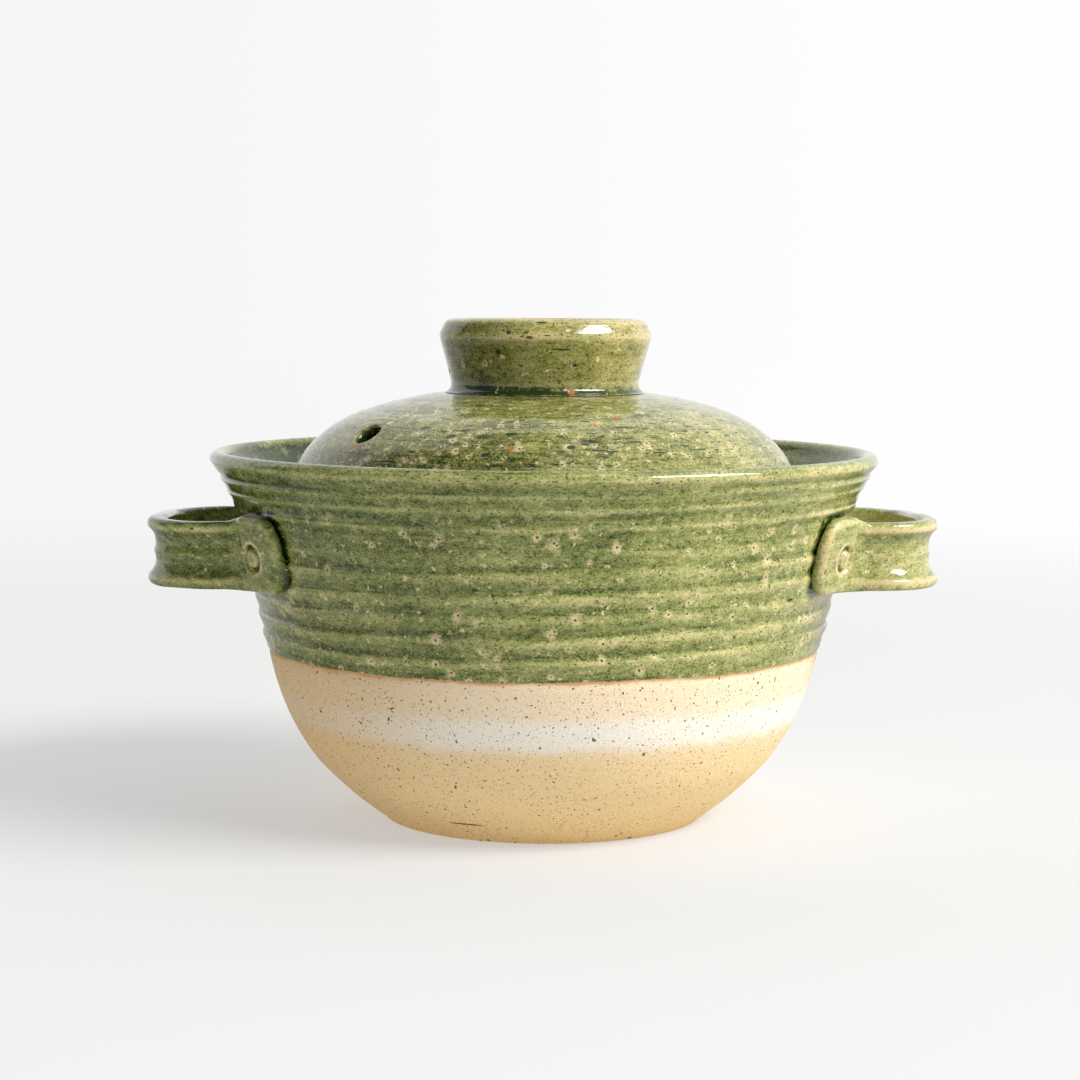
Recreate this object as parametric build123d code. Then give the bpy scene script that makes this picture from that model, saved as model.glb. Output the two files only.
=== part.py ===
"""A lidded clay cooking pot: thrown pot, two strap handles, domed lid and its ring knob.

Millimetres. The origin is the centre of the foot on the table, +Z is up, the handles lie
along X and the steam hole faces front left. Every round piece is turned about Z.
"""
from build123d import *
from math import cos, degrees, radians, sin
import os

# Thrown pot, outside
rim_radius = 104.6
rim_flare = 8.6
neck_radius = rim_radius - rim_flare
wall_taper = 9.2
glaze_line_radius = neck_radius - wall_taper
lip_round = 2.8
pot_height = 115.1
neck_drop = 21.1
neck_height = pot_height - neck_drop
glazed_wall_height = 61.5
glaze_line_height = pot_height - glazed_wall_height
glaze_thickness = 0.4
foot_radius = 49.8
foot_edge_round = 4.0
foot_ring_width = 8.0
foot_recess = 1.2

# Places on the bare bowl, as shares of its spread and height
bowl_outline_shares = ((0.287, 0.151), (0.546, 0.32), (0.724, 0.489), (0.865, 0.677), (0.948, 0.842))

# Throwing ridges up the glazed wall, as shares of the way from the glaze line to the lip
ridge_shares = (0.10, 0.205, 0.315, 0.42, 0.52, 0.625, 0.77, 0.855, 0.92)
groove_depth = 0.45

# Thrown pot, inside
wall_thickness = 6.6
floor_thickness = 8.5
floor_radius = 44.0

# Gallery inside the lip, with the ledge that carries the lid
gallery_wall = 7.7
gallery_radius = neck_radius - gallery_wall
gallery_corner_bevel = 1.2
ledge_width = 7.8
ledge_radius = gallery_radius - ledge_width
gallery_depth = 17.6
ledge_height = pot_height - gallery_depth
ledge_drop = 3.5
ledge_blend = 10.0
ledge_edge_bevel = 0.8

# Lid, which lies loose in the gallery
lid_side_clearance = 1.8
lid_radius = gallery_radius - lid_side_clearance
lid_height = 35.5
lid_thickness = 5.6
lid_edge_thickness = 3.0
lid_edge_round = 1.2
lid_seat_width = 6.4
knob_land_margin = 0.8

# Places on the dome, as shares of the lid's radius and of its height
dome_outline_shares = ((0.545, 0.924), (0.704, 0.797), (0.788, 0.668), (0.853, 0.516))

# Steam hole, pierced square to the dome's shoulder at a share of its length
steam_hole_radius = 3.9
steam_hole_edge_round = 0.8
steam_hole_share = 0.45
steam_hole_turn = 216.25

# Ring knob, luted on the lid's flat top
knob_height = 23.1
knob_base_radius = 30.6
knob_base_wall = 6.2
knob_waist_inset = 1.5
knob_waist_radius = knob_base_radius - knob_waist_inset
knob_waist_height = 2.4
knob_waist_round = 2.5
knob_flare = 4.3
knob_lip_radius = knob_waist_radius + knob_flare
knob_lip_drop = 5.8
knob_lip_height = knob_height - knob_lip_drop
knob_lip_round = 4.0
knob_top_inset = 2.2
knob_top_radius = knob_lip_radius - knob_top_inset
knob_top_width = 4.0
knob_top_round = 1.4

# Strap handles
strap_height = 20.4
strap_thickness = 5.5
strap_drop = 29.7
strap_center_height = pot_height - strap_drop
strap_corner_round = 24.0
strap_bend_round = 8.0
strap_edge_round = 1.7
channel_depth = 2.3
channel_ridge_share = 0.78
channel_border = 3.0
arm_inset = 21.7
arm_length = 26.1

# Handle pads, pressed flat against the wall
pad_turn = 41.5
pad_lean = 12.0
pad_proud = 3.5
pad_length = 18.4
pad_height = 23.4
pad_rise = 0.4
pad_depth = 13.0
pad_dish = 0.1
pad_corner_round = 8.0
slip_gap = 0.15

# Ring stamped in each pad
stamp_radius = 4.4
stamp_boss_radius = 2.7
stamp_depth = 1.2
stamp_setback = 14.6
stamp_drop = 1.0

# Overrun of every cut past the clay it cuts
overrun = 2.0


def wall_lean():
    """Outward run of the glazed wall for each unit of height below the neck."""
    return (neck_radius - glaze_line_radius) / (neck_height - glaze_line_height)


def wall_radius(height):
    """Radius of the glazed wall: a straight lean that opens into the flare under the lip."""
    radius = glaze_line_radius + wall_lean() * (height - glaze_line_height)
    if height > neck_height:
        lip_height = pot_height - lip_round
        straight_lip = glaze_line_radius + wall_lean() * (lip_height - glaze_line_height)
        flare_share = (height - neck_height) / (lip_height - neck_height)
        radius += (rim_radius - straight_lip) * flare_share**2
    return radius


def ridge_points(gap=0.0):
    """Crests of the throwing ridges from the glaze line to the lip, moved out by a gap."""
    lip_height = pot_height - lip_round
    points = []
    for share in (0, *ridge_shares, 1):
        height = glaze_line_height + share * (lip_height - glaze_line_height)
        points.append((wall_radius(height) + gap, height))
    return points


def arcs_through(points):
    """Chain of arcs: each starts where the last one ends and passes through the next point."""
    return [ThreePointArc(*points[start : start + 3]) for start in range(0, len(points) - 2, 2)]


def point_inside(arc, share, thickness):
    """Point one thickness square in from an outer arc, at a share of its length."""
    along = arc % share
    return arc @ share + Vector(-along.Y, along.X) * thickness


def groove(start, end):
    """One shallow finger groove between two throwing ridges."""
    run = Vector(*end) - Vector(*start)
    middle = (Vector(*start) + Vector(*end)) * 0.5
    inward = Vector(-run.Y, run.X).normalized()
    return ThreePointArc(start, middle + inward * groove_depth, end)


def rounded(outline, corners):
    """Round the corners of an outline, each to its own size."""
    for corner, round_size in corners:
        outline = fillet(outline.vertices().sort_by_distance(corner)[0], round_size)
    return outline


def turned(outline):
    """Turn an outline, drawn as radius and height, about the upright axis."""
    return revolve(Plane.XZ * outline, Axis.Z)


def bowl_arcs():
    """Outside of the bare bowl, as arcs from the corner of the foot to the glaze line."""
    bare_radius = glaze_line_radius - glaze_thickness
    bare_height = glaze_line_height - glaze_thickness
    spread = bare_radius - foot_radius
    places = [(foot_radius + r * spread, h * bare_height) for r, h in bowl_outline_shares]
    return arcs_through([(foot_radius, 0), *places, (bare_radius, bare_height)])


def pot_body():
    """The thrown pot: foot, bowl, ridged wall, rolled lip, and the ledge inside for the lid."""
    low_arc, middle_arc, high_arc = bowl_arcs()
    ridges = ridge_points()
    lip_height = pot_height - lip_round
    lip_inside = (rim_radius - 2 * lip_round, lip_height)
    gallery_corner = (gallery_radius, ledge_height)
    ledge_edge = (ledge_radius, ledge_height)
    ledge_foot = (ledge_radius, ledge_height - ledge_drop)
    under_ledge_height = ledge_height - ledge_drop - ledge_blend
    under_ledge = (wall_radius(under_ledge_height) - wall_thickness, under_ledge_height)
    wall_foot = (glaze_line_radius - wall_thickness, glaze_line_height)
    recess_radius = foot_radius - foot_edge_round / 2 - foot_ring_width

    inside = arcs_through([
        (floor_radius, floor_thickness),
        point_inside(low_arc, 0.5, wall_thickness),
        point_inside(low_arc, 1, wall_thickness),
        point_inside(middle_arc, 0.5, wall_thickness),
        point_inside(middle_arc, 1, wall_thickness),
    ])
    outline = make_face([
        Polyline((0, floor_thickness), (0, foot_recess), (recess_radius - foot_recess, foot_recess)),
        Polyline((recess_radius - foot_recess, foot_recess), (recess_radius, 0), (foot_radius, 0)),
        low_arc,
        middle_arc,
        high_arc,
        Line(high_arc @ 1, ridges[0]),
        *[groove(low, high) for low, high in zip(ridges, ridges[1:])],
        ThreePointArc(ridges[-1], (rim_radius - lip_round, pot_height), lip_inside),
        Polyline(lip_inside, gallery_corner, ledge_edge, ledge_foot, under_ledge, wall_foot),
        Line(wall_foot, inside[-1] @ 1),
        *inside,
        Line((floor_radius, floor_thickness), (0, floor_thickness)),
    ])
    outline = rounded(outline, [((foot_radius, 0), foot_edge_round)])
    for corner, bevel in ((gallery_corner, gallery_corner_bevel), (ledge_edge, ledge_edge_bevel)):
        outline = chamfer(outline.vertices().sort_by_distance(corner)[0], bevel)
    return turned(outline)


def dome_arcs():
    """Outside of the lid, as two arcs from the edge of its flat top to the foot of its shoulder."""
    land_edge = (knob_base_radius + knob_land_margin, ledge_height + lid_height)
    places = [(r * lid_radius, ledge_height + h * lid_height) for r, h in dome_outline_shares]
    return arcs_through([land_edge, *places])


def lid_dome():
    """The thrown lid: a flat land for the knob, a domed shell, and a rim that seats on the ledge."""
    crown, shoulder = dome_arcs()
    top = ledge_height + lid_height
    rim_top = (lid_radius, ledge_height + lid_edge_thickness)
    rim_foot = (lid_radius, ledge_height)
    seat_inside = (lid_radius - lid_edge_round - lid_seat_width, ledge_height)
    inside = arcs_through([
        ((crown @ 0).X, top - lid_thickness),
        point_inside(crown, 0.5, -lid_thickness),
        point_inside(crown, 1, -lid_thickness),
        point_inside(shoulder, 0.5, -lid_thickness),
        point_inside(shoulder, 1, -lid_thickness),
    ])
    outline = make_face([
        Polyline(inside[0] @ 0, (0, top - lid_thickness), (0, top), crown @ 0),
        crown,
        shoulder,
        Polyline(shoulder @ 1, rim_top, rim_foot, seat_inside, inside[-1] @ 1),
        *inside,
    ])
    corners = [(corner, lid_edge_round) for corner in (rim_top, rim_foot, seat_inside)]
    shell = turned(rounded(outline, corners))

    place = shoulder @ steam_hole_share
    along = shoulder % steam_hole_share
    mouth_center = Vector(place.X, 0, place.Y).rotate(Axis.Z, steam_hole_turn)
    square_out = Vector(-along.Y, 0, along.X).rotate(Axis.Z, steam_hole_turn)
    drill = Cylinder(steam_hole_radius, 2 * (lid_thickness + overrun))
    shell -= Plane(mouth_center, z_dir=square_out) * drill
    mouth = shell.edges().filter_by(lambda edge: edge.is_closed).sort_by_distance(mouth_center)[0]
    return fillet(mouth, steam_hole_edge_round)


def lid_knob():
    """The thrown ring that stands on the lid as its knob and makes a foot when it is turned over."""
    base = ledge_height + lid_height
    waist = (knob_waist_radius, base + knob_waist_height)
    widest = (knob_lip_radius, base + knob_lip_height)
    top_outside = (knob_top_radius, base + knob_height)
    top_inside = (knob_top_radius - knob_top_width, base + knob_height)
    cup_foot = (knob_base_radius - knob_base_wall, base)
    outline = make_face(
        Polyline((knob_base_radius, base), waist, widest, top_outside, top_inside, cup_foot, close=True)
    )
    corners = (
        (waist, knob_waist_round),
        (widest, knob_lip_round),
        (top_outside, knob_top_round),
        (top_inside, knob_top_round),
    )
    return turned(rounded(outline, corners))


def strap_section(plane, height, thickness, dish):
    """Cross-section of a strap: flat behind, with a bead along each edge and a channel between
    them that a low ridge parts in two."""
    top = height / 2
    bead = top - channel_border
    ridge = (-dish * channel_ridge_share, 0)
    outline = make_face([
        Polyline((0, bead), (0, top), (-thickness, top), (-thickness, -top), (0, -top), (0, -bead)),
        ThreePointArc((0, -bead), (-dish, -bead / 2), ridge),
        ThreePointArc(ridge, (-dish, bead / 2), (0, bead)),
    ])
    corners = outline.vertices().filter_by(lambda corner: abs(abs(corner.Y) - top) < strap_edge_round)
    return plane * fillet(corners, strap_edge_round)


def face_plane(x, y, height, turn, lean):
    """Plane across the strap at a point of its outer face: local x out, local y up the strap."""
    level = Vector(cos(radians(turn)), sin(radians(turn)), 0)
    out = level * cos(radians(lean)) - Vector(0, 0, 1) * sin(radians(lean))
    along = Vector(sin(radians(turn)), -cos(radians(turn)), 0)
    return Plane((x, y, height), x_dir=out, z_dir=along)


def pad_face_distance():
    """Distance of the pads' faces from the pot's axis, at half their height."""
    return wall_radius(strap_center_height + pad_rise) + pad_proud


def half_span():
    """Half the span over the outer faces of the arms, which follows from where the pads sit."""
    return pad_face_distance() * sin(radians(pad_turn)) - arm_inset


def bend_center():
    """Centre in plan of the soft bend where the arm's outer face turns into the pad's face."""
    y = half_span() + strap_bend_round
    x = (pad_face_distance() + strap_bend_round - y * sin(radians(pad_turn))) / cos(radians(pad_turn))
    return x, y


def pad_point(setback):
    """Point of a pad's face in plan, set back from the pad's free end towards the arm."""
    out = pad_face_distance()
    center_x, center_y = bend_center()
    level = (cos(radians(pad_turn)), sin(radians(pad_turn)))
    run = center_x * level[1] - center_y * level[0] - pad_length + setback
    return out * level[0] + run * level[1], out * level[1] - run * level[0]


def pad_end():
    """One end of a strap: the channel fades out round the bend and flattens into a pad."""
    center_x, center_y = bend_center()
    pad_center_height = strap_center_height + pad_rise

    def bend_plane(share):
        turn = radians(90 + share * (pad_turn - 90))
        x = center_x - strap_bend_round * cos(turn)
        y = center_y - strap_bend_round * sin(turn)
        height = strap_center_height + share * pad_rise
        return face_plane(x, y, height, degrees(turn), share * pad_lean)

    arm = strap_section(bend_plane(0), strap_height, strap_thickness, channel_depth)
    half_height = (strap_height + pad_height) / 2
    half_depth = strap_thickness + strap_edge_round
    half = strap_section(bend_plane(0.5), half_height, half_depth, channel_depth / 2)
    root_plane = bend_plane(1)
    root = strap_section(root_plane, pad_height, pad_depth, pad_dish)
    end_plane = face_plane(*pad_point(0), pad_center_height, pad_turn, pad_lean)
    outline = Rectangle(pad_length, pad_height, align=(Align.MAX, Align.CENTER))
    outline = fillet(outline.vertices().group_by(Axis.X)[-1], pad_corner_round)
    pad = extrude(outline, -pad_depth)
    rim = pad.edges().group_by(Axis.Z)[-1].sort_by(Axis.X)[1:]
    pad = fillet(rim, strap_edge_round)
    pad = Plane(end_plane.origin, x_dir=-end_plane.z_dir, z_dir=end_plane.x_dir) * pad
    return loft([arm, half, root]) + pad


def stamp_cut():
    """Ring pressed into a pad with a tube, which leaves a round boss in the middle."""
    plane = face_plane(*pad_point(stamp_setback), strap_center_height + pad_rise, pad_turn, pad_lean)
    center = plane.origin - plane.y_dir * stamp_drop
    press = Plane(center, z_dir=plane.x_dir) * (Circle(stamp_radius) - Circle(stamp_boss_radius))
    return extrude(press, overrun) + extrude(press, -stamp_depth)


def strap_handle():
    """Strap handle on the +X side: a loop with two arms whose ends are luted on the wall."""
    arm_x = bend_center()[0]
    arm_y = half_span()
    reach = arm_x + arm_length
    loop = FilletPolyline(
        (arm_x, arm_y, strap_center_height),
        (reach, arm_y, strap_center_height),
        (reach, -arm_y, strap_center_height),
        (arm_x, -arm_y, strap_center_height),
        radius=strap_corner_round,
    )
    section = strap_section(
        face_plane(arm_x, arm_y, strap_center_height, 90, 0), strap_height, strap_thickness, channel_depth
    )
    end = pad_end()
    stamp = stamp_cut()
    ridges = ridge_points(slip_gap)
    lip_side = (ridges[-1][0], pot_height)
    wall = turned(make_face(Polyline((0, ridges[0][1]), *ridges, lip_side, (0, pot_height), close=True)))
    blank = sweep(section, path=loop) + end + mirror(end, Plane.XZ)
    return blank - wall - stamp - mirror(stamp, Plane.XZ)


right_handle = strap_handle()
parts = {
    "pot_body": pot_body(),
    "handle_left": mirror(right_handle, Plane.YZ),
    "handle_right": right_handle,
    "lid_dome": lid_dome(),
    "lid_knob": lid_knob(),
}

os.makedirs("parts", exist_ok=True)
for name, shape in parts.items():
    export_step(shape, f"parts/{name}.step")
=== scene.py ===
import math

import bmesh
import bpy
from mathutils import Matrix, Vector, noise
from mathutils.bvhtree import BVHTree
from mathutils.geometry import interpolate_bezier


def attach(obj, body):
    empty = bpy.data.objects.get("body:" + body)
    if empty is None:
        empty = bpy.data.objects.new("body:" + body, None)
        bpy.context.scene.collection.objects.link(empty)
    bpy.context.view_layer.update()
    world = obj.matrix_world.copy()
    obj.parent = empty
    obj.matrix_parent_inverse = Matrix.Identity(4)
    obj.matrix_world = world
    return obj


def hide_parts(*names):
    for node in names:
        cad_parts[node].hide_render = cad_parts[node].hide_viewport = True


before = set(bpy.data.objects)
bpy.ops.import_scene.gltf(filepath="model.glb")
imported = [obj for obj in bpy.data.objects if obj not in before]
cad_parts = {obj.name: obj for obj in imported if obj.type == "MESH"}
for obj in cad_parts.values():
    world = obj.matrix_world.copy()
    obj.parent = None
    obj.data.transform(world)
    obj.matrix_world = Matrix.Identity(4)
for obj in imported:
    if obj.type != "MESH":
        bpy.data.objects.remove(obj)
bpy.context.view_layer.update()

# Thrown pot. Coarse buff clay, thrown on the wheel in one piece: a bowl on a turned foot, a wall
# that keeps the potter's finger ridges, a rolled lip, and a ledge inside it for the lid. It was
# dipped in green ash glaze as far down as a line under the handles, and its ledge was wiped bare.
glaze_rise = 0.4
glaze_line = 53.5
lip_height = 112.3
lip_round = 2.8
# Every length is in millimetres, and a place on an outline is a radius and a height.
wall_foot = (86.45, 53.6)
wall_neck = (95.65, 94.0)
wall_lip = 104.25
wall_heights = (53, 54, 56, 60, 70, 80, 90, 94, 98, 102, 106, 110, lip_height)
foot_hollow = 1.2
foot_inner, foot_outer = 39.8, 48.6
ledge_height = 97.5
ledge_inner, ledge_outer = 80.5, 88.3
# Each finger ridge: its height, width and rise, where the groove beside it lies, and its depth.
finger_ridges = (
    (107.4, 0.60, 0.36, 1.6, 0.34),
    (103.7, 0.65, 0.42, -1.7, 0.22),
    (98.4, 0.65, 0.44, -1.5, 0.10),
    (90.4, 1.30, 0.16, 2.2, 0.06),
    (84.4, 1.25, 0.40, 2.2, 0.22),
    (78.2, 1.25, 0.42, 2.1, 0.20),
    (72.1, 1.25, 0.42, 2.3, 0.24),
    (65.9, 1.25, 0.44, 2.2, 0.22),
    (59.6, 1.20, 0.40, 2.1, 0.22),
)
bowl_places = (
    (49.9, 0.12), (51.8, 1.5), (53.9, 3.0), (56.5, 5.0), (60.3, 8.0), (64.7, 12.0), (68.8, 16.0),
    (72.4, 20.0), (75.8, 25.0), (78.7, 30.0), (81.5, 36.0), (84.0, 43.0), (85.9, 50.0), (86.3, 52.0),
)
inside_places = (
    (87.0, 83.8), (83.6, 68.7), (80.2, 53.6), (75.4, 38.6), (70.7, 29.4), (65.0, 21.6), (56.0, 13.1),
    (44.0, 8.6),
)
# A pad reaches less far round the pot than its CAD solid: past the start it is drawn in by a share.
pad_start = math.radians(20.0)
pad_squeeze = 0.83


def wall_place(height):
    """Radius and height of the glazed wall before its ridges: a straight lean, then the flare."""
    lean = (wall_neck[0] - wall_foot[0]) / (wall_neck[1] - wall_foot[1])
    radius = wall_foot[0] + lean * (height - wall_foot[1])
    if height > wall_neck[1]:
        straight = wall_foot[0] + lean * (lip_height - wall_foot[1])
        share = (height - wall_neck[1]) / (lip_height - wall_neck[1])
        radius += (wall_lip - straight) * share**2
    return radius, height


def drawn(stretches):
    """One outline in millimetres from stretches of soft curve, each with its own spacing."""
    line = []
    for spacing, places in stretches:
        points = [Vector((radius, 0, height)) for radius, height in places]
        points = [points[0] * 2 - points[1], *points, points[-1] * 2 - points[-2]]
        for before, start, end, after in zip(points, points[1:], points[2:], points[3:]):
            pieces = max(1, round((end - start).length / spacing))
            lead, trail = start + (end - before) / 6, end - (after - start) / 6
            curve = interpolate_bezier(start, lead, trail, end, pieces + 1)
            goes_on = line != [] and (line[-1] - start).length < 0.01
            line += curve[1:] if goes_on else curve
    return line


def lengths_along(line):
    """How far along the outline each of its points lies."""
    total, found = 0.0, [0.0]
    for start, end in zip(line, line[1:]):
        total += (end - start).length
        found.append(total)
    return found


def softened(line, reach):
    """The outline with its corners eased, as far as glaze or a wet sponge eases them."""
    along = lengths_along(line)
    last = len(along) - 1
    shares = [(along[min(step + 1, last)] - along[max(step - 1, 0)]) / 2 for step in range(len(along))]
    eased = []
    for here, start in zip(line, along):
        total, weight = Vector(), 0.0
        for place, far, share in zip(line, along, shares):
            if abs(far - start) < 3 * reach:
                near = share * math.exp(-(((far - start) / reach) ** 2) / 2)
                total += place * near
                weight += near
        eased.append(total / weight)
    eased[0], eased[-1] = line[0], line[-1]
    return eased


def standing_out(line, reach):
    """How many millimetres each point of the outline stands out of its surroundings."""
    found = []
    flat = softened(line, reach)
    for place, (here, level) in enumerate(zip(line, flat)):
        ahead = line[min(place + 1, len(line) - 1)] - line[max(place - 1, 0)]
        outward = Vector((ahead.z, 0, -ahead.x)).normalized()
        found.append((here - level).dot(outward))
    return found


def turned(line, values, turns, closed=False):
    """The outline thrown round the upright axis, with a list of values kept for its points."""
    form = bmesh.new()
    layers = {name: form.verts.layers.float.new(name) for name in values}
    corners = []
    for place, point in enumerate(line):
        corner = form.verts.new(point)
        for name, layer in layers.items():
            corner[layer] = values[name][place]
        corners.append(corner)
    for start, end in zip(corners, corners[1:] + corners[:1] * closed):
        form.edges.new((start, end))
    bmesh.ops.spin(
        form, geom=form.verts[:] + form.edges[:], cent=(0, 0, 0), axis=(0, 0, 1),
        dvec=(0, 0, 0), angle=math.tau, steps=turns, use_merge=True,
    )
    bmesh.ops.remove_doubles(form, verts=form.verts[:], dist=0.001)
    bmesh.ops.recalc_face_normals(form, faces=form.faces[:])
    return form, layers


def finished(form, name, body, nodes, material):
    """The modelled form, brought from millimetres to metres, as a piece of the object."""
    bmesh.ops.scale(form, vec=(0.001, 0.001, 0.001), verts=form.verts[:])
    mesh = bpy.data.meshes.new(name)
    form.to_mesh(mesh)
    form.free()
    mesh.shade_smooth()
    mesh.materials.append(material)
    piece = bpy.data.objects.new(name, mesh)
    bpy.context.scene.collection.objects.link(piece)
    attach(piece, body)
    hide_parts(*nodes)
    return piece


def clamped(value):
    """The value, held between 0 and 1."""
    return min(1.0, max(0.0, value))


def swell(away, reach):
    """1 in the middle of a soft swelling or hollow, and nearly 0 from twice its reach away."""
    return math.exp(-((away / reach) ** 2))


def slid(point, share):
    """A point near a handle's pad moved round the pot, towards the handle's middle by a share
    under 1 and away from it by one over 1."""
    angle = math.atan2(abs(point.y), abs(point.x))
    moved = pad_start + (angle - pad_start) * share if angle > pad_start else angle
    radius = math.hypot(point.x, point.y)
    across, back = radius * math.cos(moved), radius * math.sin(moved)
    return Vector((math.copysign(across, point.x), math.copysign(back, point.y), point.z))


def ripple(angle, waves, seed):
    """Slow random wander round the pot, about zero, that joins up with itself."""
    return noise.noise(Vector((math.cos(angle) * waves, math.sin(angle) * waves, seed)))


class Signal:
    """Output of a shader node. A formula on signals adds the nodes that work it out."""

    def __init__(self, socket):
        self.socket = socket

    def node(self, kind, settings, sockets, output=0):
        """Adds another node: its settings first, then the values or links of its sockets."""
        tree = self.socket.id_data
        added = tree.nodes.new(kind)
        for name, value in settings.items():
            if name == "stops":
                stops = added.color_ramp.elements
                while len(stops) < len(value):
                    stops.new(0.5)
                for stop, (position, colour) in zip(stops, value):
                    stop.position = position
                    stop.color = colour
            else:
                setattr(added, name, value)
        for place, value in sockets.items():
            if isinstance(value, Signal):
                tree.links.new(value.socket, added.inputs[place])
            else:
                added.inputs[place].default_value = value
        return Signal(added.outputs[output])

    def math(self, operation, first, second=0.0):
        return self.node("ShaderNodeMath", {"operation": operation}, {0: first, 1: second})

    def __add__(self, other):
        return self.math("ADD", self, other)

    __radd__ = __add__

    def __sub__(self, other):
        return self.math("SUBTRACT", self, other)

    def __rsub__(self, other):
        return self.math("SUBTRACT", other, self)

    def __mul__(self, other):
        return self.math("MULTIPLY", self, other)

    __rmul__ = __mul__

    def __truediv__(self, other):
        return self.math("DIVIDE", self, other)

    def __neg__(self):
        return self.math("MULTIPLY", self, -1.0)

    def most(self, other):
        return self.math("MAXIMUM", self, other)


def colour(red, green, blue):
    """A colour as it is read off a screen, made linear for the shader."""
    shares = [part / 255 for part in (red, green, blue)]
    linear = [share / 12.92 if share < 0.0404 else ((share + 0.055) / 1.055) ** 2.4 for share in shares]
    return (*linear, 1.0)


def rising(signal, low, high):
    """0 below low, 1 above high, and a soft rise between them."""
    return signal.node(
        "ShaderNodeMapRange", {"interpolation_type": "SMOOTHSTEP"},
        {"Value": signal, "From Min": low, "From Max": high},
    )


def mixed(share, first, second):
    """One colour going over into another."""
    signal = share if isinstance(share, Signal) else first
    return signal.node("ShaderNodeMix", {"data_type": "RGBA"}, {0: share, 6: first, 7: second}, 2)


def grain(place, size, detail=2.0, flat=1.0):
    """Random field about zero, with patches of a size in millimetres that may be flattened."""
    spread = place.node(
        "ShaderNodeVectorMath", {"operation": "MULTIPLY"},
        {0: place, 1: (1 / size, 1 / size, flat / size)},
    )
    found = place.node("ShaderNodeTexNoise", {}, {"Vector": spread, "Scale": 1.0, "Detail": detail})
    return (found - 0.5) * 2.0


def wheel_lines(place, size, long, detail=1.0):
    """Random field about zero whose patches are drawn out the way that the wheel turned."""
    level = (1.0, 1.0, 0.0)
    flat = place.node("ShaderNodeVectorMath", {"operation": "MULTIPLY"}, {0: place, 1: level})
    radius = place.node("ShaderNodeVectorMath", {"operation": "LENGTH"}, {0: flat}, "Value")
    across = place.node("ShaderNodeSeparateXYZ", {}, {0: place}, 0)
    back, height = (Signal(across.socket.node.outputs[part]) for part in (1, 2))
    spread = place.node(
        "ShaderNodeCombineXYZ", {}, {0: across / long, 1: back / long, 2: (height - radius * 0.7) / size},
    )
    found = place.node("ShaderNodeTexNoise", {}, {"Vector": spread, "Scale": 1.0, "Detail": detail})
    return (found - 0.5) * 2.0


def pinholes(place, spacing, depth):
    """Bubbles that broke in the glaze: the distance from the nearest one's middle along the
    surface, its size from 0 to 1, and a random number of its own."""
    cells = place.node("ShaderNodeVectorMath", {"operation": "SCALE"}, {0: place, "Scale": 1 / spacing})
    middle = place.node("ShaderNodeTexVoronoi", {}, {"Vector": cells, "Scale": 1.0}, "Position")
    chance = Signal(middle.socket.node.outputs["Color"])
    away = place.node("ShaderNodeVectorMath", {"operation": "SUBTRACT"}, {0: cells, 1: middle})
    square_out = place.node("ShaderNodeNewGeometry", {}, {}, "Normal")
    product = {"operation": "DOT_PRODUCT"}
    below = place.node("ShaderNodeVectorMath", product, {0: away, 1: square_out}, "Value")
    reach = place.node("ShaderNodeVectorMath", product, {0: away, 1: away}, "Value")
    along = place.math("SQRT", (reach - below * below).most(0.0)) * spacing
    nearness = below * (spacing / depth)
    size = (1.0 - nearness * nearness).most(0.0)
    return along, size, place.node("ShaderNodeSeparateColor", {}, {0: chance}, 0)


glaze_tones = (
    (0.00, colour(218, 200, 146)),
    (0.16, colour(194, 188, 126)),
    (0.34, colour(165, 167, 102)),
    (0.52, colour(138, 144, 80)),
    (0.70, colour(108, 118, 56)),
    (0.86, colour(72, 86, 30)),
    (1.00, colour(34, 52, 18)),
)
# Bare clay by height; the lowest stop, at the foot, is amber clay with painted shade, darker than above.
bare_tones = (
    (0.00, colour(238, 200, 134)),
    (0.20, colour(245, 214, 156)),
    (0.44, colour(246, 217, 164)),
    (0.505, colour(246, 219, 172)),
    (0.56, colour(250, 242, 226)),
    (0.65, colour(250, 243, 229)),
    (0.71, colour(248, 228, 196)),
    (0.92, colour(247, 222, 184)),
)


def stars(place, spacing, share, reach, ragged):
    """Cream haloes where bubbles broke in the glaze, and the dark hole in the middle of each."""
    along, size, chance = pinholes(place, spacing, 1.5)
    there = size * rising(chance, 1.0 - share, 1.05 - share * 0.5)
    halo = 1.0 - rising((along + ragged) / (there * reach + 0.02), 0.0, 1.0)
    hole = 1.0 - rising(along / (there * 0.46 + 0.01), 0.55, 1.0)
    return halo, hole


def mark(place, where, reach, ragged):
    """1 on a flaw of the glaze and 0 away from it: its middle and half sizes in millimetres."""
    away = place.node("ShaderNodeVectorMath", {"operation": "SUBTRACT"}, {0: place, 1: where})
    spread = place.node("ShaderNodeVectorMath", {"operation": "DIVIDE"}, {0: away, 1: reach})
    far = place.node("ShaderNodeVectorMath", {"operation": "LENGTH"}, {0: spread}, "Value")
    return 1.0 - rising(far + ragged, 0.55, 1.0)


# The dark of open pits, also used as painted shade in the left strap's slot.
pit_and_shade_tone = colour(30, 28, 18)
pool_tone = colour(36, 58, 22)
cream_tone = colour(228, 210, 160)
rust_tone = colour(196, 110, 58)
warm_tone = colour(182, 148, 84)
speck_tone = colour(40, 52, 18)
hole_tone = colour(60, 36, 20)
damp_sand_tone = colour(176, 140, 92)
dry_sand_tone = colour(255, 246, 228)
painted_shade_clay_tone = colour(232, 196, 138)
grit_tone = colour(78, 48, 20)
scorch_tone = colour(206, 144, 70)
crack_tone = colour(96, 60, 30)
shoulder_tone = colour(186, 118, 60)


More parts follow.
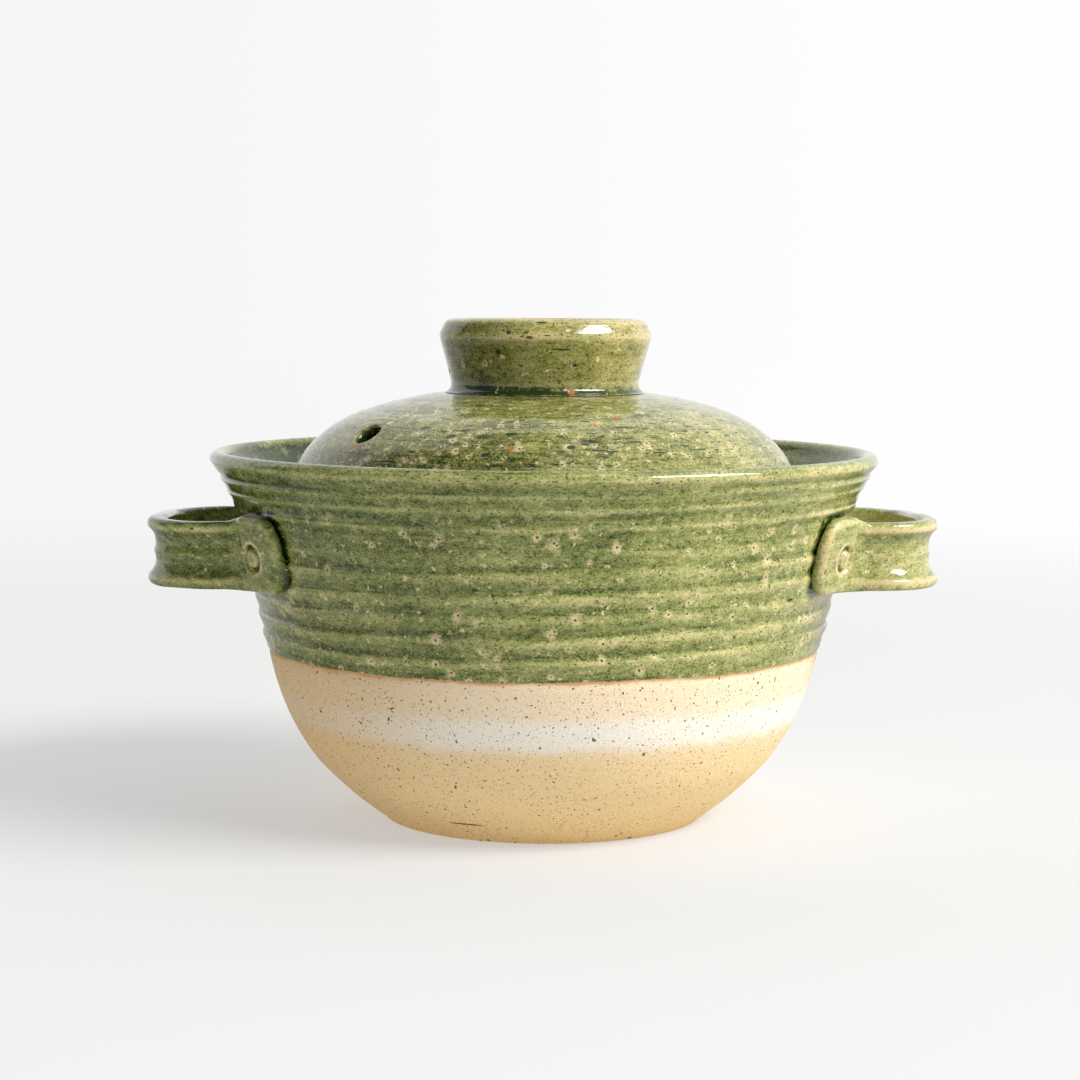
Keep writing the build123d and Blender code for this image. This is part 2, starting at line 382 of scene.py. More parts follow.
def glazed_clay(name, thickness=0.52, ridge_draw=0.55, star_sets=((6.4, 0.75, 2.6), (4.7, 0.5, 1.9)),
                star_top=200.0, fleck_long=3.2, fleck_share=0.06, pit_share=0.0, painted_side_light=0.0018,
                patches=0.08, grains=0.50, speck_depth=0.78, warmth=0.0, marks=()):
    """Green ash glaze over buff clay. It runs thin and tan off everything that stands out, pools
    dark in every hollow, and breaks into cream pinholes; where it ends the clay is sandy and dry.
    The pooled glaze also carries painted shade in recesses and corners, the glaze is painted
    lighter on the right and darker on the left, and the bare clay is painted in shade on the left
    and at the foot.
    A star set is a spacing, a share of cells with a star, and its reach. A mark is a flaw's middle
    and half sizes, its tone and its depth."""
    material = bpy.data.materials.new(name)
    material.use_nodes = True
    tree = material.node_tree
    shader = tree.nodes["Principled BSDF"]
    metres = Signal(tree.nodes.new("ShaderNodeTexCoord").outputs["Object"])
    place = metres.node("ShaderNodeVectorMath", {"operation": "SCALE"}, {0: metres, "Scale": 1000.0})
    across = place.node("ShaderNodeSeparateXYZ", {}, {0: place}, 0)
    height = Signal(across.socket.node.outputs[2])
    crest = place.node("ShaderNodeAttribute", {"attribute_name": "crest"}, {}, "Fac")
    edge = place.node("ShaderNodeAttribute", {"attribute_name": "edge"}, {}, "Fac")
    pool = place.node("ShaderNodeAttribute", {"attribute_name": "pool"}, {}, "Fac")

    # How thick the glaze lies, from 0 where it is thin and tan to 1 where it is dark. Painted
    # shade from the pooled glaze and painted light across the pot go into it as well.
    clouds = grain(place, 30.0)
    streaks = wheel_lines(place, 1.8, 20.0, 3.0)
    mottle = grain(place, 2.6, 2.0, 1.6)
    sand = grain(place, 0.70, 2.0, 1.3)
    # Painted light and shade: the layer falls towards the right across the pot, so the glaze reads lighter
    # on the window's side and darker on the left.
    layer = thickness - crest * ridge_draw + pool - across * painted_side_light
    drift = grain(place, 9.0, 3.0)
    thrown = wheel_lines(place, 0.8, 14.0, 2.0)
    layer = layer + clouds * 0.26 + streaks * 0.24 + thrown * 0.20
    layer = layer + mottle * 0.34 + sand * grains + drift * patches
    glaze = place.node("ShaderNodeValToRGB", {"stops": glaze_tones}, {0: layer})
    glaze = mixed((1.0 - rising(layer, 0.70, 1.0)) * warmth, glaze, warm_tone)

    # What breaks its surface: pinholes, iron specks, dark flecks and open pits.
    ragged = mottle * 1.5 + sand * 1.2
    halo, hole = 0.0, 0.0
    for spacing, share, reach in star_sets:
        next_halo, next_hole = stars(place, spacing, share, reach, ragged)
        halo, hole = next_halo.most(halo), next_hole.most(hole)
    low_enough = 1.0 - rising(height, star_top, star_top + 8.0) * 0.8
    halo, hole = halo * low_enough, hole * low_enough
    specks = rising(grain(place, 0.85, 0.0, 1.4), 0.36, 0.48)
    glaze = mixed(specks * speck_depth, glaze, speck_tone)
    flecks = rising(wheel_lines(place, 1.1, fleck_long), 0.62 - fleck_share, 0.74 - fleck_share)
    glaze = mixed(flecks * 0.92, glaze, pool_tone)
    glaze = mixed(halo * 0.88, glaze, cream_tone)
    pits = rising(grain(place, 1.5, 1.0, 1.2), 0.76 - pit_share, 0.86 - pit_share)
    pit_wall = mixed(rising(clouds + sand, -0.1, 0.9), cream_tone, rust_tone)
    glaze = mixed(pits * 0.75, glaze, pit_wall)
    glaze = mixed(hole * 0.90, glaze, hole_tone)
    dents = hole * 0.30 + flecks * 0.14 + pits * (0.10 + pit_share * 0.5)

    # The bare clay below: pale where slip was wiped round it, scorched along the glaze, and painted
    # warmer and darker on the left as shade.
    band = (height + drift * 2.2) / 62.0
    bare = place.node("ShaderNodeValToRGB", {"stops": bare_tones}, {0: band})
    bare = mixed(rising(-sand, 0.02, 0.60) * 0.30, bare, damp_sand_tone)
    bare = mixed(rising(sand, 0.04, 0.60) * 0.55, bare, dry_sand_tone)
    grit = rising(grain(place, 0.62, 0.0), 0.46, 0.58)
    stones = rising(grain(place, 1.5, 0.0), 0.62, 0.68)
    # Painted shade: towards the left, away from the window, the bare clay is mixed warmer and darker.
    bare = mixed(rising(-across, 20.0, 75.0) * 0.70, bare, painted_shade_clay_tone)
    bare = mixed(grit.most(stones) * 0.85, bare, grit_tone)
    scorch = rising(edge + drift * 0.8, -1.3, -0.1) * rising(edge, 2.0, -0.5)
    bare = mixed(scorch * 0.8, bare, scorch_tone)

    cover = rising(edge + sand * 0.35, -0.12, 0.12)
    skin_tone = mixed(cover, bare, glaze)
    gloss = 0.07 + halo * 0.08 + hole * 0.3
    for where, reach, tone, depth in marks:
        found = mark(place, where, reach, ragged * 0.20)
        skin_tone = mixed(found * 0.92, skin_tone, tone)
        gloss = gloss + found * (0.7 if tone == pit_and_shade_tone else 0.0)
        dents = dents + found * depth
    tree.links.new(skin_tone.socket, shader.inputs["Base Color"])
    tree.links.new((0.88 - cover * (0.88 - gloss)).socket, shader.inputs["Roughness"])
    tree.links.new((cover * 0.25).socket, shader.inputs["Coat Weight"])
    shader.inputs["Coat Roughness"].default_value = 0.04
    skin = mottle * 0.04 + streaks * 0.02 + sand * 0.010 - halo * 0.06 - dents
    rough = sand * 0.09 + mottle * 0.05 - grit * 0.14 - stones * 0.25
    relief = rough + cover * (skin - rough)
    bump = place.node("ShaderNodeBump", {}, {"Strength": 1.0, "Distance": 0.001, "Height": relief})
    tree.links.new(bump.socket, shader.inputs["Normal"])
    return material


lip_center = (wall_lip - lip_round, lip_height)
lip_turns = [math.radians(turn) for turn in range(0, 181, 20)]
lip_places = [
    (lip_center[0] + lip_round * math.cos(turn), lip_center[1] + lip_round * math.sin(turn))
    for turn in lip_turns
]
pot_line = softened(drawn([
    (3.0, [(0, foot_hollow), (foot_inner - foot_hollow, foot_hollow)]),
    (0.6, [(foot_inner - foot_hollow, foot_hollow), (foot_inner, 0)]),
    (2.0, [(foot_inner, 0), (foot_outer, 0)]),
    (1.2, [(foot_outer, 0), *bowl_places]),
    (0.42, [bowl_places[-1], *[wall_place(height) for height in wall_heights]]),
    (0.6, lip_places),
    (0.9, [lip_places[-1], (ledge_outer, ledge_height + 0.2)]),
    (0.9, [(ledge_outer, ledge_height + 0.1), (ledge_inner, ledge_height)]),
    (0.8, [(ledge_inner, ledge_height), (ledge_inner, 94.2)]),
    (1.6, [(ledge_inner, 94.2), (83.8, 88.5), inside_places[0]]),
    (2.4, inside_places),
    (4.0, [inside_places[-1], (0, 8.5)]),
]), 0.35)
pot_along = lengths_along(pot_line)
pot_places = list(zip(pot_along, pot_line))
glaze_start = next(far for far, point in pot_places if point.z > glaze_line)
ledge_high, ledge_low = ledge_height + 1.1, ledge_height - 1.1
ledge_start = next(far for far, point in pot_places if far > glaze_start + 70 and point.z < ledge_high)
ledge_end = next(far for far, point in pot_places if far > ledge_start + 5 and point.z < ledge_low)
pot_edges = [
    min(far - glaze_start, ledge_start - far) if far < ledge_start
    else -min(far - ledge_start, ledge_end - far) if far < ledge_end
    else far - ledge_end
    for far in pot_along
]
pot_values = {"crest": standing_out(pot_line, 1.7), "edge": pot_edges, "pool": [0.0] * len(pot_line)}
pot_turns = 250
pot_form, pot_layers = turned(pot_line, pot_values, pot_turns)

pads = []
for handle in ("handle_left", "handle_right"):
    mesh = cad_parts[handle].data
    places = [vert.co * 1000 for vert in mesh.vertices]
    pads.append(BVHTree.FromPolygons(places, [face.vertices for face in mesh.polygons]))


def ridge_wander(angle, ridge):
    """How far a finger ridge strays upwards at a place round the pot, and how strong it is there."""
    return 0.8 * ripple(angle, 1.6, ridge * 3.7), 1 + 0.8 * ripple(angle, 2.4, ridge * 5.1 + 40)


wander = [
    [ridge_wander(math.tau * turn / pot_turns, ridge) for ridge in range(len(finger_ridges))]
    for turn in range(pot_turns)
]
for corner in pot_form.verts:
    height = corner.co.z
    radius = math.hypot(corner.co.x, corner.co.y)
    if radius < 1:
        continue
    angle = math.atan2(corner.co.y, corner.co.x)
    turn = round(angle / math.tau * pot_turns) % pot_turns
    lift = 0.35 * ripple(angle, 1.1, height * 0.02)
    allowed = 2.5 + max(0, wall_foot[1] - height) * 9
    if height > 0.5 and radius > wall_place(max(height, wall_foot[1]))[0] - allowed:
        if height > 50:
            ridges = 0.0
            lean = (1.1 if height > 95 else 1.6) * corner.co.x / radius
            for ridge, (shift, strength) in zip(finger_ridges, wander[turn]):
                crest_height, width, rise, beside, depth = ridge
                above = height - crest_height - shift - lean
                reach = width if above > 0 else width * 1.4
                ridges += strength * rise * swell(above, reach)
                ridges -= strength * depth * swell(above - beside, 0.9)
            lift += ridges
            corner[pot_layers["crest"]] += ridges - 0.06
        if height < 62:
            uneven = 0.55 * ripple(angle, 2.0, 7.0) + 0.35 * ripple(angle, 7.0, 3.0)
            corner[pot_layers["edge"]] -= uneven + 0.004 * corner.co.x
        if height > 108.5:
            lip_line = 0.30 * swell(height - 112.0, 0.7)
            corner[pot_layers["crest"]] = corner[pot_layers["crest"]] * 0.4 + lip_line
        dipped = clamped(corner[pot_layers["edge"]] / 1.1 + 0.1)
        lift += glaze_rise * math.sin(dipped * math.pi / 2) - glaze_rise if height > 40 else -glaze_rise
        if height > 60:
            # Round the pads: pooled glaze with painted shade, dark in the corner against the wall, then a
            # paler ring of thin glaze a little further out.
            gap = min(pad.find_nearest(slid(corner.co, 1 / pad_squeeze))[3] for pad in pads)
            corner[pot_layers["pool"]] += 0.55 * swell(gap, 1.2) - 0.22 * swell(gap - 3.4, 1.8)
    elif height > 98:
        # Inside the flare, above the ledge, the glaze is made darker.
        corner[pot_layers["pool"]] += 0.30
    corner.co.xy *= 1 + lift / radius
finished(
    pot_form, "thrown_pot", "pot", ["pot_body"],
    glazed_clay("dipped pot clay", star_top=96.0, marks=(
        ((69.9, -58.5, 74.5), (2.4, 2.4, 0.5), pit_and_shade_tone, 0.2),
        ((-24.0, -52.6, 6.7), (7.6, 5.4, 0.38), crack_tone, 0.3),
    )),
)

# Strap handles. Each is a clay strap with a channel run down its face by a thumb, bent into a loop
# and luted on the wall. A tube stamped a ring in the pads at its ends. Both are glazed all over.
ring_place = (86.5, -49.2, 85.2)
ring_round = 4.8
strap_top, strap_middle, strap_bottom = 93.2, 85.5, 78.0
slot_place = (79.2, 80.0)


def worked_strap(node, side, channel, hollow, pull, notch):
    """The strap of a CAD node, softened as wet clay is: its far arm sags a little, and the thumb
    that drew the channel pressed it unevenly. Channel is a share by which all relief grows. In
    millimetres, hollow deepens the channel, pull draws the reach in, and notch is the depth of a
    slot near the front pad's free end."""
    strap = bmesh.new()
    strap.from_mesh(node.data)
    bmesh.ops.remove_doubles(strap, verts=strap.verts[:], dist=1e-6)
    blank_mesh = bpy.data.meshes.new("strap_blank")
    strap.to_mesh(blank_mesh)
    strap.free()
    blank = bpy.data.objects.new("strap_blank", blank_mesh)
    bpy.context.scene.collection.objects.link(blank)
    remesh = blank.modifiers.new("even", "REMESH")
    remesh.mode = "VOXEL"
    remesh.voxel_size = 0.00048
    even = bpy.data.meshes.new_from_object(blank.evaluated_get(bpy.context.evaluated_depsgraph_get()))
    bpy.data.objects.remove(blank)
    form = bmesh.new()
    form.from_mesh(even)
    bmesh.ops.scale(form, vec=(1000, 1000, 1000), verts=form.verts[:])
    smooth = {"factor": 0.5, "use_axis_x": True, "use_axis_y": True, "use_axis_z": True}
    for _ in range(7):
        bmesh.ops.smooth_vert(form, verts=form.verts[:], **smooth)
    calm = form.copy()
    for _ in range(14):
        bmesh.ops.smooth_vert(calm, verts=calm.verts[:], **smooth)
    layers = {name: form.verts.layers.float.new(name) for name in ("crest", "edge", "pool")}
    form.verts.ensure_lookup_table()
    calm.verts.ensure_lookup_table()
    form.normal_update()
    for corner, level in zip(form.verts, calm.verts):
        relief = (corner.co - level.co).dot(corner.normal)
        gap = math.hypot(corner.co.x, corner.co.y) - wall_place(corner.co.z)[0] - glaze_rise
        free = clamped((gap - 4.0) / 6.0)
        from_ring = (corner.co - Vector((side * ring_place[0], *ring_place[1:]))).length
        ring = 0.95 * swell(from_ring - ring_round, 0.50) + 0.45 * swell(from_ring - 2.1, 0.7)
        bead = swell(corner.co.z - strap_top, 1.0) + swell(corner.co.z - strap_bottom, 1.0)
        middle_way = Vector((corner.co.x - side * 88, corner.co.y, 0)).normalized()
        outer = max(0.0, corner.normal.dot(middle_way))
        corner[layers["crest"]] = (3.6 - 2.6 * free) * relief - 0.04 + ring + 0.62 * bead * outer * free
        corner[layers["edge"]] = 9.0
        # Pooled glaze and painted shade: dark where the strap meets the wall and on its top and under
        # faces, darker there than pooling alone; the stamped ring's groove holds only pooled glaze.
        pool = 0.60 * swell(max(0.0, gap), 1.5) + 0.36 * max(0.0, abs(corner.normal.z) - 0.2)
        pool += 0.26 * swell(from_ring - 3.55, 0.6)
        outer *= swell(corner.co.z - strap_middle, 4.6)
        corner.co += corner.normal * (relief * channel - hollow * outer) * free
        angle = math.degrees(math.atan2(-corner.co.y, abs(corner.co.x)))
        to_end, to_top = clamped((abs(angle) - 32) / 6.6), clamped((corner.co.z - 88) / 9)
        corner.co.z -= 1.6 * to_end**2 * to_top
        corner.co = slid(corner.co, pad_squeeze)
        if notch and corner.co.y < -45:
            sideways = (corner.co.x - side * slot_place[0]) / 1.7
            upwards = (corner.co.z - slot_place[1]) / 4.4
            cut = math.exp(-(sideways**2 + upwards**4))
            # The slot is also painted dark with shade.
            pool += 0.80 * cut
            corner.co -= Vector((corner.co.x, corner.co.y, 0)).normalized() * notch * cut
        corner[layers["pool"]] = pool
        corner.co.x -= side * pull * clamped((abs(corner.co.x) - 102) / 18) ** 1.5
        corner.co.z -= 1.8 * free * clamped((corner.co.y + 10) / 40)
        wave = Vector((corner.co.x * 0.06, corner.co.y * 0.06, corner.co.z * 0.06 + side * 9))
        corner.co += noise.noise_vector(wave) * 0.35 * free
    calm.free()
    return form


left_marks = (
    # The first mark is painted shade: a dark patch without a dent over the slot by the front pad's free
    # end.
    ((-79.0, -57.4, 80.0), (1.5, 5.0, 4.4), pit_and_shade_tone, 0.00),
    ((-89.5, -48.7, 93.4), (0.9, 0.9, 0.9), pit_and_shade_tone, 0.35),
    ((-91.0, -47.5, 95.0), (0.7, 0.7, 0.5), pit_and_shade_tone, 0.20),
    ((-84.2, -54.9, 94.3), (0.8, 0.8, 0.7), cream_tone, 0.05),
    ((-106.3, -41.5, 93.6), (0.6, 0.8, 0.5), pit_and_shade_tone, 0.20),
    ((-105.8, -41.7, 78.1), (0.5, 0.8, 0.4), pit_and_shade_tone, 0.15),
)
right_marks = (
    ((81.3, -54.1, 81.6), (0.7, 0.9, 1.7), pool_tone, 0.30),
    ((80.3, -56.4, 94.0), (0.9, 0.9, 1.0), cream_tone, 0.05),
    ((102.3, -40.5, 86.2), (0.7, 0.8, 0.4), rust_tone, 0.15),
    ((95.8, -40.9, 89.7), (0.5, 0.8, 0.4), pit_and_shade_tone, 0.15),
)
# Each strap: its side, channel, hollow, pull and notch, and the flaws of its glaze.
straps = (
    ("left", -1, 0.25, 0.0, 0.3, 2.6, left_marks),
    ("right", 1, 0.9, 0.8, 1.4, 0.0, right_marks),
)
noise.seed_set(7)
for side_name, side, channel, hollow, pull, notch, marks in straps:
    strap_glaze = glazed_clay(
        side_name + " strap glaze", thickness=0.44, ridge_draw=0.62, speck_depth=0.45,
        star_sets=((5.6, 0.25, 1.6),), marks=marks,
    )
    finished(
        worked_strap(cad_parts["handle_" + side_name], side, channel, hollow, pull, notch),
        "strap_handle_" + side_name, "pot", ["handle_" + side_name], strap_glaze,
    )

# Lid. A shallow dome thrown upside down in one piece, trimmed thin, with a flat rim that rests on
# the pot's ledge. A steam hole is pierced through its shoulder. Glazed but for the rim's seat.
seat_height = 97.6
dome_under = (
    (31, 127.4), (45.7, 124.9), (58.6, 120.7), (64.7, 116.8), (69.5, 112.2), (74.0, 105.6), (78.6, 98.6),
)
dome_rim = ((85.4, seat_height), (86.3, 98.4), (86.3, 99.7), (85.6, 101.0))
dome_over = (
    dome_rim[-1], (77.7, 110.6), (76.2, 112.8), (73.8, 115.9), (70.9, 118.9), (67.2, 121.9), (62.6, 124.8),
    (55.7, 127.7), (47.1, 130.2), (39.0, 131.9), (34.0, 132.7), (31.4, 132.9),
)
dome_line = softened(drawn([
    (4.0, [(0, 127.4), dome_under[0]]),
    (1.8, dome_under),
    (0.8, [dome_under[-1], (79.6, seat_height)]),
    (1.2, [(79.6, seat_height), dome_rim[0]]),
    (0.6, dome_rim),
    (0.8, dome_over),
    (2.0, [dome_over[-1], (24.0, 132.95), (0, 132.95)]),
]), 0.4)
dome_along = lengths_along(dome_line)
dome_places = list(zip(dome_along, dome_line))
seat_start = next(far for far, point in dome_places if point.z < seat_height + 0.8)
seat_end = next(far for far, point in dome_places if far > seat_start + 5 and point.z > seat_height + 1.6)
dome_edges = [
    seat_start - far if far < seat_start
    else far - seat_end if far > seat_end
    else -min(far - seat_start, seat_end - far)
    for far in dome_along
]
dome_pools = [0.50 * swell(point.x - 31.2, 1.6) if point.z > 130 else 0.0 for point in dome_line]
dome_values = {"crest": standing_out(dome_line, 1.7), "edge": dome_edges, "pool": dome_pools}
dome_form, dome_layers = turned(dome_line, dome_values, 300)
for corner in dome_form.verts:
    radius = math.hypot(corner.co.x, corner.co.y)
    if corner.co.z > 100 and radius > 34:
        angle = math.atan2(corner.co.y, corner.co.x)
        share = clamped((radius - 34) / 8)
        lift = 0.16 * ripple(angle, 0.9, radius * 0.30) + 0.12 * ripple(angle, 2.2, radius * 0.55 + 30)
        corner.co.z += (lift + 0.25 * ripple(angle, 1.0, radius * 0.03)) * share
        corner[dome_layers["crest"]] += lift * 1.6

hole_middle = Vector((-52.842, -38.745, 119.707))
hole_out = Vector((-0.4806, -0.3524, 0.8030))
hole_radius = 3.9
mouth_reach = 5.2
pierced_reach = 2.0
pierced_edge = 1.35
pulled_reach = 10.0
fine_reach = 12.0
shoulder_low = 105.0


def off_axis(point):
    """How far a point of the lid lies from the middle line of the steam hole, and that way out."""
    away = point - hole_middle
    away -= hole_out * away.dot(hole_out)
    return away.length, away.normalized()


def by_hole(point, reach):
    """Whether a point lies on the lid's shoulder, within a reach of the hole's middle line."""
    return off_axis(point)[0] < reach and point.z > shoulder_low


near_faces = [face for face in dome_form.faces if by_hole(face.calc_center_median(), fine_reach)]
near_edges = list({edge for face in near_faces for edge in face.edges})
bmesh.ops.subdivide_edges(dome_form, edges=near_edges, cuts=2, use_grid_fill=True)
pierced = [
    face for face in dome_form.faces
    if all(by_hole(corner.co, pierced_reach) for corner in face.verts)
]
bmesh.ops.delete(dome_form, geom=pierced, context="FACES")
rims = [edge for edge in dome_form.edges if edge.is_boundary]
rim_corners = {corner for edge in rims for corner in edge.verts}
for corner in dome_form.verts:
    far, outward = off_axis(corner.co)
    if by_hole(corner.co, pulled_reach):
        outside = (corner.co - hole_middle).dot(hole_out) > 0
        share = max(0.0, (far - pierced_edge) / (pulled_reach - pierced_edge))
        if corner in rim_corners:
            share = 0.0
        reach = hole_radius + (pulled_reach - hole_radius) * share
        corner.co += outward * (reach - far)
        if outside and reach < mouth_reach:
            drop = (mouth_reach - reach) / (mouth_reach - hole_radius)
            corner.co -= hole_out * (mouth_reach - hole_radius) * (1 - math.sqrt(max(0.0, 1 - drop**2)))
        if reach < mouth_reach:
            corner[dome_layers["edge"]] = 1.0 if corner in rim_corners else 0.4
            corner[dome_layers["crest"]] += 0.0 if corner in rim_corners else 0.3
            # The bore's walls are pooled glaze with painted shade, dark as the inside of the hole.
            corner[dome_layers["pool"]] += 0.8 if corner in rim_corners else 0.0
bmesh.ops.bridge_loops(dome_form, edges=rims)
bmesh.ops.recalc_face_normals(dome_form, faces=dome_form.faces[:])

finished(
    dome_form, "thrown_lid", "lid", ["lid_dome"],
    glazed_clay(
        "lid glaze", thickness=0.55, star_sets=((4.6, 0.85, 2.1), (3.6, 0.6, 1.4)), fleck_long=5.5,
        fleck_share=0.36, pit_share=0.34, patches=0.26, grains=0.62, warmth=0.10,
        marks=(
            ((-56.3, -41.3, 117.6), (3.2, 3.2, 2.6), shoulder_tone, 0.0),
            ((-49.3, -40.5, 124.2), (1.2, 1.2, 0.8), rust_tone, 0.10),
            ((-47.5, -39.8, 125.2), (1.4, 1.4, 0.8), cream_tone, 0.15),
            ((-45.7, -38.0, 126.3), (1.2, 1.2, 0.8), rust_tone, 0.10),
            ((-37.0, -52.2, 124.1), (2.2, 1.6, 1.0), pool_tone, 0.30),
            ((-29.7, -60.1, 122.1), (2.2, 1.3, 1.0), pool_tone, 0.30),
            ((10.9, -67.2, 121.3), (4.2, 1.0, 0.8), pool_tone, 0.30),
            ((-12.1, -64.4, 123.1), (2.4, 1.2, 0.8), pool_tone, 0.25),
            ((5.0, -69.8, 119.7), (1.6, 1.2, 1.1), pool_tone, 0.25),
            ((-19.6, -69.7, 117.3), (2.0, 1.0, 1.0), pool_tone, 0.30),
            ((-12.2, -69.3, 119.3), (1.0, 1.0, 1.0), rust_tone, 0.05),
            ((19.3, -52.4, 127.7), (1.3, 1.6, 0.9), rust_tone, 0.05),
            ((12.5, -60.0, 125.6), (0.9, 1.4, 0.8), rust_tone, 0.05),
        ),
    ),
)

# Ring knob. Thrown as a small bottomless cup, turned over and luted on the lid's flat top, so that
# it also makes a foot when the lid is laid upside down. The glaze pools dark round its foot.
knob_foot = 133.0
cup_radius = 24.6
knob_outside = (
    (31.6, knob_foot), (30.5, 133.5), (29.6, 134.5), (29.4, 136.0), (30.2, 139.5), (31.4, 144.0),
    (32.6, 148.3), (33.05, 150.2), (33.0, 151.3), (32.5, 152.6), (31.5, 154.6), (31.0, 155.2),
    (30.2, 155.6), (28.8, 156.0), (27.8, 155.8), (27.0, 154.6),
)
knob_line = softened(drawn([
    (0.8, [(cup_radius, knob_foot), knob_outside[0]]),
    (0.45, knob_outside),
    (1.2, [knob_outside[-1], (25.8, 145.0), (cup_radius, knob_foot + 1.0)]),
    (0.5, [(cup_radius, knob_foot + 1.0), (cup_radius, knob_foot + 0.3)]),
]), 0.3)
knob_values = {
    "crest": [
        crest + 0.30 * swell(point.z - 150.6, 0.9) + 0.30 * swell(point.z - 136.4, 1.0)
        for crest, point in zip(standing_out(knob_line, 1.7), knob_line)
    ],
    "edge": [9.0] * len(knob_line),
    "pool": [0.62 * swell(point.z - knob_foot - 0.6, 0.6) for point in knob_line],
}
knob_form, _ = turned(knob_line, knob_values, 180, closed=True)
for corner in knob_form.verts:
    angle = math.atan2(corner.co.y, corner.co.x)
    corner.co.xy *= 1 + 0.3 * ripple(angle, 1.0, corner.co.z * 0.03) / 30
finished(
    knob_form, "ring_knob", "lid", ["lid_knob"],
    glazed_clay(
        "knob glaze", thickness=0.56, ridge_draw=0.75, star_sets=((6.0, 0.45, 1.5),), fleck_long=4.0,
        # A steeper lean across on the knob paints its right side lit and its left side in shade.
        fleck_share=0.18, pit_share=0.20, painted_side_light=0.0065, patches=0.36, grains=0.56, warmth=0.18,
        marks=(
            ((-15.4, -28.2, 145.9), (1.2, 1.2, 0.9), pit_and_shade_tone, 0.40),
            ((-14.0, -28.6, 144.6), (1.3, 1.3, 0.8), cream_tone, 0.20),
            ((-30.0, -4.3, 139.6), (1.2, 1.2, 1.0), pit_and_shade_tone, 0.40),
            ((7.0, -29.4, 134.0), (1.6, 1.6, 0.9), rust_tone, 0.10),
            ((5.4, -29.6, 134.8), (1.0, 1.2, 0.6), cream_tone, 0.10),
            ((3.9, -32.2, 146.9), (4.0, 1.5, 0.4), pool_tone, 0.20),
            ((-6.1, -32.6, 150.5), (1.6, 1.5, 0.5), pit_and_shade_tone, 0.20),
            ((-12.2, -30.4, 152.0), (0.9, 1.5, 0.8), pit_and_shade_tone, 0.25),
            ((7.8, -30.0, 142.0), (0.9, 1.5, 0.8), pit_and_shade_tone, 0.25),
            ((15.1, -27.7, 144.1), (0.7, 1.5, 1.2), cream_tone, 0.20),
            ((-2.4, -31.5, 155.0), (2.2, 1.5, 0.5), pool_tone, 0.20),
            ((6.0, -31.9, 152.7), (1.1, 1.5, 0.6), cream_tone, 0.10),
        ),
    ),
)

# Studio. A sheet of pale paper under and behind the pot, a white room for it to mirror, and a
# window at its right front that is the key light and throws the long soft shadow to the left.
near_glow = 0.86
room_shine = 0.16


def paper_light(aside):
    """How light the far paper is: it lies in the window's light on the right."""
    return 0.915 + rising(aside, -0.20, 0.25) * 0.08


floor_mesh = bpy.data.meshes.new("paper_floor")
floor_form = bmesh.new()
bmesh.ops.create_grid(floor_form, x_segments=1, y_segments=1, size=6.0)
floor_form.to_mesh(floor_mesh)
floor_form.free()
paper = bpy.data.materials.new("pale paper")
paper.use_nodes = True
paper_shader = paper.node_tree.nodes["Principled BSDF"]
paper_shader.inputs["Base Color"].default_value = (0.80, 0.80, 0.80, 1)
paper_shader.inputs["Roughness"].default_value = 1.0
paper_shader.inputs["Specular IOR Level"].default_value = 0.0
spot = Signal(paper.node_tree.nodes.new("ShaderNodeTexCoord").outputs["Object"])
away = spot.node("ShaderNodeVectorMath", {"operation": "LENGTH"}, {0: spot}, "Value")
aside = spot.node("ShaderNodeSeparateXYZ", {}, {0: spot}, 0) / (away + 0.001)
far_off = rising(away, 0.15, 1.20)
far_light = paper_light(aside)
mirrored = spot.node("ShaderNodeLightPath", {}, {}, "Is Glossy Ray") * (1.0 - far_off)
glow = spot.node(
    "ShaderNodeEmission", {},
    {
        "Color": (1, 1, 1, 1),
        "Strength": (near_glow + far_off * (far_light - near_glow)) * (1.0 - mirrored * 0.8),
    },
)
sheet = spot.node(
    "ShaderNodeMixShader", {}, {0: 0.50 + far_off * 0.50, 1: Signal(paper_shader.outputs[0]), 2: glow},
)
paper.node_tree.links.new(sheet.socket, paper.node_tree.nodes["Material Output"].inputs["Surface"])
floor_mesh.materials.append(paper)
floor = bpy.data.objects.new("paper_floor", floor_mesh)
bpy.context.scene.collection.objects.link(floor)

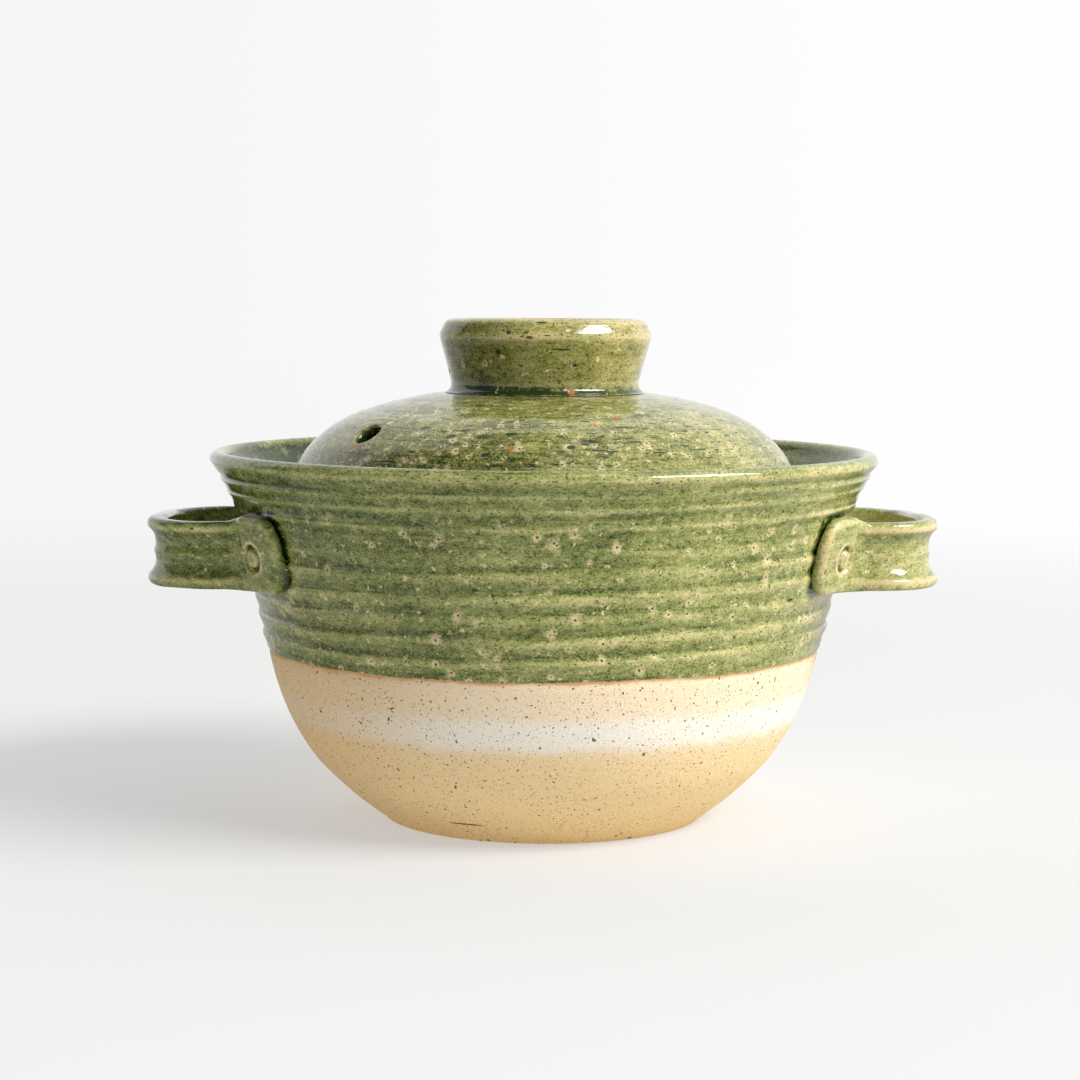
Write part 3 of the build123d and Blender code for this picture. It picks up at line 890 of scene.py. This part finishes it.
room = bpy.data.worlds.new("white room")
room.use_nodes = True
bpy.context.scene.world = room
backdrop = room.node_tree.nodes["Background"]
backdrop.inputs["Color"].default_value = (1, 1, 1, 1)
toward = Signal(room.node_tree.nodes.new("ShaderNodeTexCoord").outputs["Object"])
seen = toward.node("ShaderNodeLightPath", {}, {}, "Is Camera Ray")
toward_parts = toward.node("ShaderNodeSeparateXYZ", {}, {0: toward}, 1)
toward_across, toward_up = (Signal(toward_parts.socket.node.outputs[place]) for place in (0, 2))
level = toward.math("SQRT", (1.0 - toward_up * toward_up).most(0.0001))
behind = rising(toward_parts / level, 0.42, 0.50) * (1.0 - rising(toward_up, 0.90, 0.96))
to_right = rising(toward_across / level, 0.15, 0.60) * (1.0 - behind)
shine = room_shine + behind * 0.79 + to_right * 0.60
strength = shine + seen * (paper_light(toward_across / level) - shine)
room.node_tree.links.new(strength.socket, backdrop.inputs["Strength"])

window_far = 3.0
window = bpy.data.lights.new("window", "AREA")
window.shape = "ELLIPSE"
window.size = 2.1
window.size_y = 0.95
window.energy = 92.0
window.color = (1.0, 0.985, 0.95)
window_place = Vector((0.663, -0.383, 0.643)) * window_far
window_object = bpy.data.objects.new("window", window)
window_turn = window_place.to_track_quat("Z", "Y").to_matrix().to_4x4()
window_object.matrix_world = Matrix.Translation(window_place) @ window_turn
bpy.context.scene.collection.objects.link(window_object)

camera_place = (-0.030, -0.7994, 0.1617)
heading, pitch, roll = math.radians(-2.06), math.radians(90 - 5.37), 0.0056
lens = bpy.data.cameras.new("camera")
lens.lens = 85.07
lens.sensor_width = 36.0
lens.clip_start = 0.05
lens.clip_end = 50.0
camera = bpy.data.objects.new("camera", lens)
camera.matrix_world = (
    Matrix.Translation(camera_place)
    @ Matrix.Rotation(heading, 4, "Z")
    @ Matrix.Rotation(pitch, 4, "X")
    @ Matrix.Rotation(roll, 4, "Z")
)
bpy.context.scene.collection.objects.link(camera)
bpy.context.scene.camera = camera
bpy.context.scene.view_settings.view_transform = "Standard"
